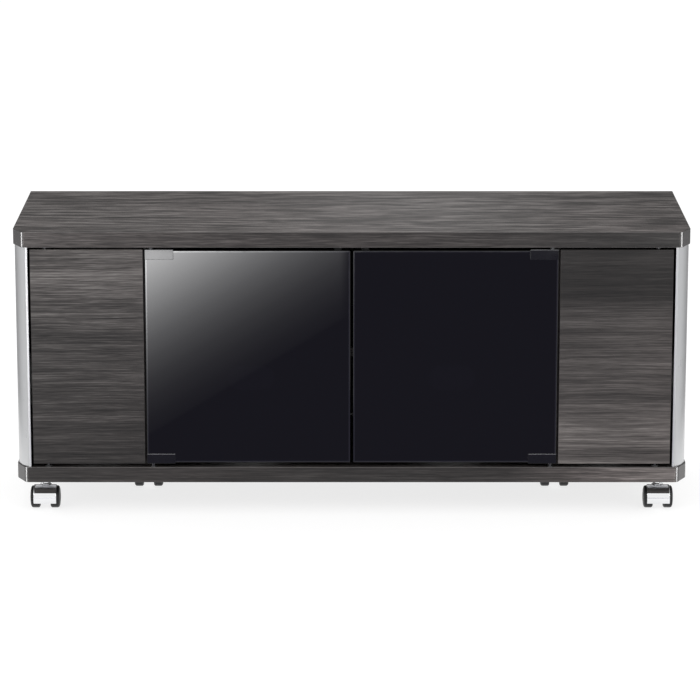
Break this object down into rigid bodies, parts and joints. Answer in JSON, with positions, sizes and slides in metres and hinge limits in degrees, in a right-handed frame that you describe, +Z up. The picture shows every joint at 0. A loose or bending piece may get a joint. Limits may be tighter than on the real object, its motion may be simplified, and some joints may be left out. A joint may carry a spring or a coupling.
{
  "type": "media cabinet",
  "caption": "Low wide media cabinet on twin-wheel casters: dark wood-grain boards, aluminium corner posts, two smoked glass doors between two wood doors.",
  "frame": {"origin": "middle of the footprint, on the floor under the casters", "axes": "+X to the right seen from the front, +Y from the front to the back, +Z up"},
  "size_m": [1.2, 0.4, 0.516],
  "materials": {
    "woodgrain_laminate": "satin, embossed straight grain running left to right",
    "back_hardboard": "matt",
    "satin_aluminium": "satin anodised",
    "smoked_glass": "polished, dark grey",
    "dark_clamp_metal": "gloss, dark grey",
    "plated_steel": "zinc plated",
    "black_plastic": "moulded",
    "chrome_hood": "polished",
    "black_wheel": "moulded nylon"
  },
  "bodies": {
    "cabinet": {"top_board": "woodgrain_laminate", "base_board": "woodgrain_laminate", "left_side_panel": "woodgrain_laminate", "right_side_panel": "woodgrain_laminate", "left_partition": "woodgrain_laminate", "right_partition": "woodgrain_laminate", "back_panel": "back_hardboard", "left_corner_post": "satin_aluminium", "right_corner_post": "satin_aluminium", "centre_shelf": "woodgrain_laminate", "left_shelf": "woodgrain_laminate", "right_shelf": "woodgrain_laminate", "shelf_pins": "plated_steel", "carcass_screws": "plated_steel", "cam_locks": "plated_steel", "back_panel_screws": "plated_steel", "pivot_bushes": "black_plastic", "push_latch_housings": "black_plastic", "caster_mounts": "plated_steel", "caster_mount_screws": "plated_steel"},
    "left_glass_door": {"left_glass_pane": "smoked_glass", "left_glass_clamps": "dark_clamp_metal", "left_glass_strike": "plated_steel"},
    "left_wood_door": {"left_door_panel": "woodgrain_laminate", "left_door_pivots": "plated_steel", "left_door_strike": "plated_steel"},
    "right_glass_door": {"right_glass_pane": "smoked_glass", "right_glass_clamps": "dark_clamp_metal", "right_glass_strike": "plated_steel"},
    "right_wood_door": {"right_door_panel": "woodgrain_laminate", "right_door_pivots": "plated_steel", "right_door_strike": "plated_steel"},
    "left_glass_plunger": {"left_glass_plunger": "plated_steel"},
    "right_glass_plunger": {"right_glass_plunger": "plated_steel"},
    "left_door_plunger": {"left_door_plunger": "plated_steel"},
    "right_door_plunger": {"right_door_plunger": "plated_steel"},
    "front_left_caster": {"front_left_hood": "chrome_hood", "front_left_axle": "plated_steel"},
    "front_left_outer_wheel": {"front_left_outer_wheel": "black_wheel"},
    "front_left_inner_wheel": {"front_left_inner_wheel": "black_wheel"},
    "front_right_caster": {"front_right_hood": "chrome_hood", "front_right_axle": "plated_steel"},
    "front_right_outer_wheel": {"front_right_outer_wheel": "black_wheel"},
    "front_right_inner_wheel": {"front_right_inner_wheel": "black_wheel"},
    "middle_left_caster": {"middle_left_hood": "chrome_hood", "middle_left_axle": "plated_steel"},
    "middle_left_outer_wheel": {"middle_left_outer_wheel": "black_wheel"},
    "middle_left_inner_wheel": {"middle_left_inner_wheel": "black_wheel"},
    "middle_right_caster": {"middle_right_hood": "chrome_hood", "middle_right_axle": "plated_steel"},
    "middle_right_outer_wheel": {"middle_right_outer_wheel": "black_wheel"},
    "middle_right_inner_wheel": {"middle_right_inner_wheel": "black_wheel"},
    "rear_left_caster": {"rear_left_hood": "chrome_hood", "rear_left_axle": "plated_steel"},
    "rear_left_outer_wheel": {"rear_left_outer_wheel": "black_wheel"},
    "rear_left_inner_wheel": {"rear_left_inner_wheel": "black_wheel"},
    "rear_right_caster": {"rear_right_hood": "chrome_hood", "rear_right_axle": "plated_steel"},
    "rear_right_outer_wheel": {"rear_right_outer_wheel": "black_wheel"},
    "rear_right_inner_wheel": {"rear_right_inner_wheel": "black_wheel"}
  },
  "joints": [
    {"name": "left_glass_door_hinge", "type": "hinge", "parent": "cabinet", "child": "left_glass_door", "pos_m": [-0.3545, -0.195, 0.288], "axis": [0, 0, -1], "range_deg": [0, 100]},
    {"name": "left_wood_door_hinge", "type": "hinge", "parent": "cabinet", "child": "left_wood_door", "pos_m": [-0.542, -0.1905, 0.289], "axis": [0, 0, -1], "range_deg": [0, 95]},
    {"name": "left_glass_plunger_slide", "type": "slide", "parent": "cabinet", "child": "left_glass_plunger", "axis": [0, -1, 0], "range_m": [0, 0.011]},
    {"name": "left_door_plunger_slide", "type": "slide", "parent": "cabinet", "child": "left_door_plunger", "axis": [0, -1, 0], "range_m": [0, 0.011]},
    {"name": "right_glass_door_hinge", "type": "hinge", "parent": "cabinet", "child": "right_glass_door", "pos_m": [0.3545, -0.195, 0.288], "axis": [0, 0, 1], "range_deg": [0, 100]},
    {"name": "right_wood_door_hinge", "type": "hinge", "parent": "cabinet", "child": "right_wood_door", "pos_m": [0.542, -0.1905, 0.289], "axis": [0, 0, 1], "range_deg": [0, 95]},
    {"name": "right_glass_plunger_slide", "type": "slide", "parent": "cabinet", "child": "right_glass_plunger", "axis": [0, -1, 0], "range_m": [0, 0.011]},
    {"name": "right_door_plunger_slide", "type": "slide", "parent": "cabinet", "child": "right_door_plunger", "axis": [0, -1, 0], "range_m": [0, 0.011]},
    {"name": "front_left_swivel", "type": "hinge", "parent": "cabinet", "child": "front_left_caster", "pos_m": [-0.5525, -0.136, 0.052], "axis": [0, 0, 1], "continuous": true},
    {"name": "front_left_outer_wheel_roll", "type": "hinge", "parent": "front_left_caster", "child": "front_left_outer_wheel", "pos_m": [-0.5705, -0.148, 0.02], "axis": [1, 0, 0], "continuous": true},
    {"name": "front_left_inner_wheel_roll", "type": "hinge", "parent": "front_left_caster", "child": "front_left_inner_wheel", "pos_m": [-0.5345, -0.148, 0.02], "axis": [1, 0, 0], "continuous": true},
    {"name": "front_right_swivel", "type": "hinge", "parent": "cabinet", "child": "front_right_caster", "pos_m": [0.5525, -0.136, 0.052], "axis": [0, 0, 1], "continuous": true},
    {"name": "front_right_outer_wheel_roll", "type": "hinge", "parent": "front_right_caster", "child": "front_right_outer_wheel", "pos_m": [0.5705, -0.148, 0.02], "axis": [1, 0, 0], "continuous": true},
    {"name": "front_right_inner_wheel_roll", "type": "hinge", "parent": "front_right_caster", "child": "front_right_inner_wheel", "pos_m": [0.5345, -0.148, 0.02], "axis": [1, 0, 0], "continuous": true},
    {"name": "middle_left_swivel", "type": "hinge", "parent": "cabinet", "child": "middle_left_caster", "pos_m": [-0.374, 0.012, 0.052], "axis": [0, 0, 1], "continuous": true},
    {"name": "middle_left_outer_wheel_roll", "type": "hinge", "parent": "middle_left_caster", "child": "middle_left_outer_wheel", "pos_m": [-0.392, 0, 0.02], "axis": [1, 0, 0], "continuous": true},
    {"name": "middle_left_inner_wheel_roll", "type": "hinge", "parent": "middle_left_caster", "child": "middle_left_inner_wheel", "pos_m": [-0.356, 0, 0.02], "axis": [1, 0, 0], "continuous": true},
    {"name": "middle_right_swivel", "type": "hinge", "parent": "cabinet", "child": "middle_right_caster", "pos_m": [0.374, 0.012, 0.052], "axis": [0, 0, 1], "continuous": true},
    {"name": "middle_right_outer_wheel_roll", "type": "hinge", "parent": "middle_right_caster", "child": "middle_right_outer_wheel", "pos_m": [0.392, 0, 0.02], "axis": [1, 0, 0], "continuous": true},
    {"name": "middle_right_inner_wheel_roll", "type": "hinge", "parent": "middle_right_caster", "child": "middle_right_inner_wheel", "pos_m": [0.356, 0, 0.02], "axis": [1, 0, 0], "continuous": true},
    {"name": "rear_left_swivel", "type": "hinge", "parent": "cabinet", "child": "rear_left_caster", "pos_m": [-0.5525, 0.136, 0.052], "axis": [0, 0, 1], "continuous": true},
    {"name": "rear_left_outer_wheel_roll", "type": "hinge", "parent": "rear_left_caster", "child": "rear_left_outer_wheel", "pos_m": [-0.5705, 0.124, 0.02], "axis": [1, 0, 0], "continuous": true},
    {"name": "rear_left_inner_wheel_roll", "type": "hinge", "parent": "rear_left_caster", "child": "rear_left_inner_wheel", "pos_m": [-0.5345, 0.124, 0.02], "axis": [1, 0, 0], "continuous": true},
    {"name": "rear_right_swivel", "type": "hinge", "parent": "cabinet", "child": "rear_right_caster", "pos_m": [0.5525, 0.136, 0.052], "axis": [0, 0, 1], "continuous": true},
    {"name": "rear_right_outer_wheel_roll", "type": "hinge", "parent": "rear_right_caster", "child": "rear_right_outer_wheel", "pos_m": [0.5705, 0.124, 0.02], "axis": [1, 0, 0], "continuous": true},
    {"name": "rear_right_inner_wheel_roll", "type": "hinge", "parent": "rear_right_caster", "child": "rear_right_inner_wheel", "pos_m": [0.5345, 0.124, 0.02], "axis": [1, 0, 0], "continuous": true}
  ],
  "couplings": [
    {"joint": "left_glass_plunger_slide", "follows": "left_glass_door_hinge", "m_per_rad": 0.006016},
    {"joint": "left_door_plunger_slide", "follows": "left_wood_door_hinge", "m_per_rad": 0.006333},
    {"joint": "right_glass_plunger_slide", "follows": "right_glass_door_hinge", "m_per_rad": 0.006016},
    {"joint": "right_door_plunger_slide", "follows": "right_wood_door_hinge", "m_per_rad": 0.006333}
  ]
}
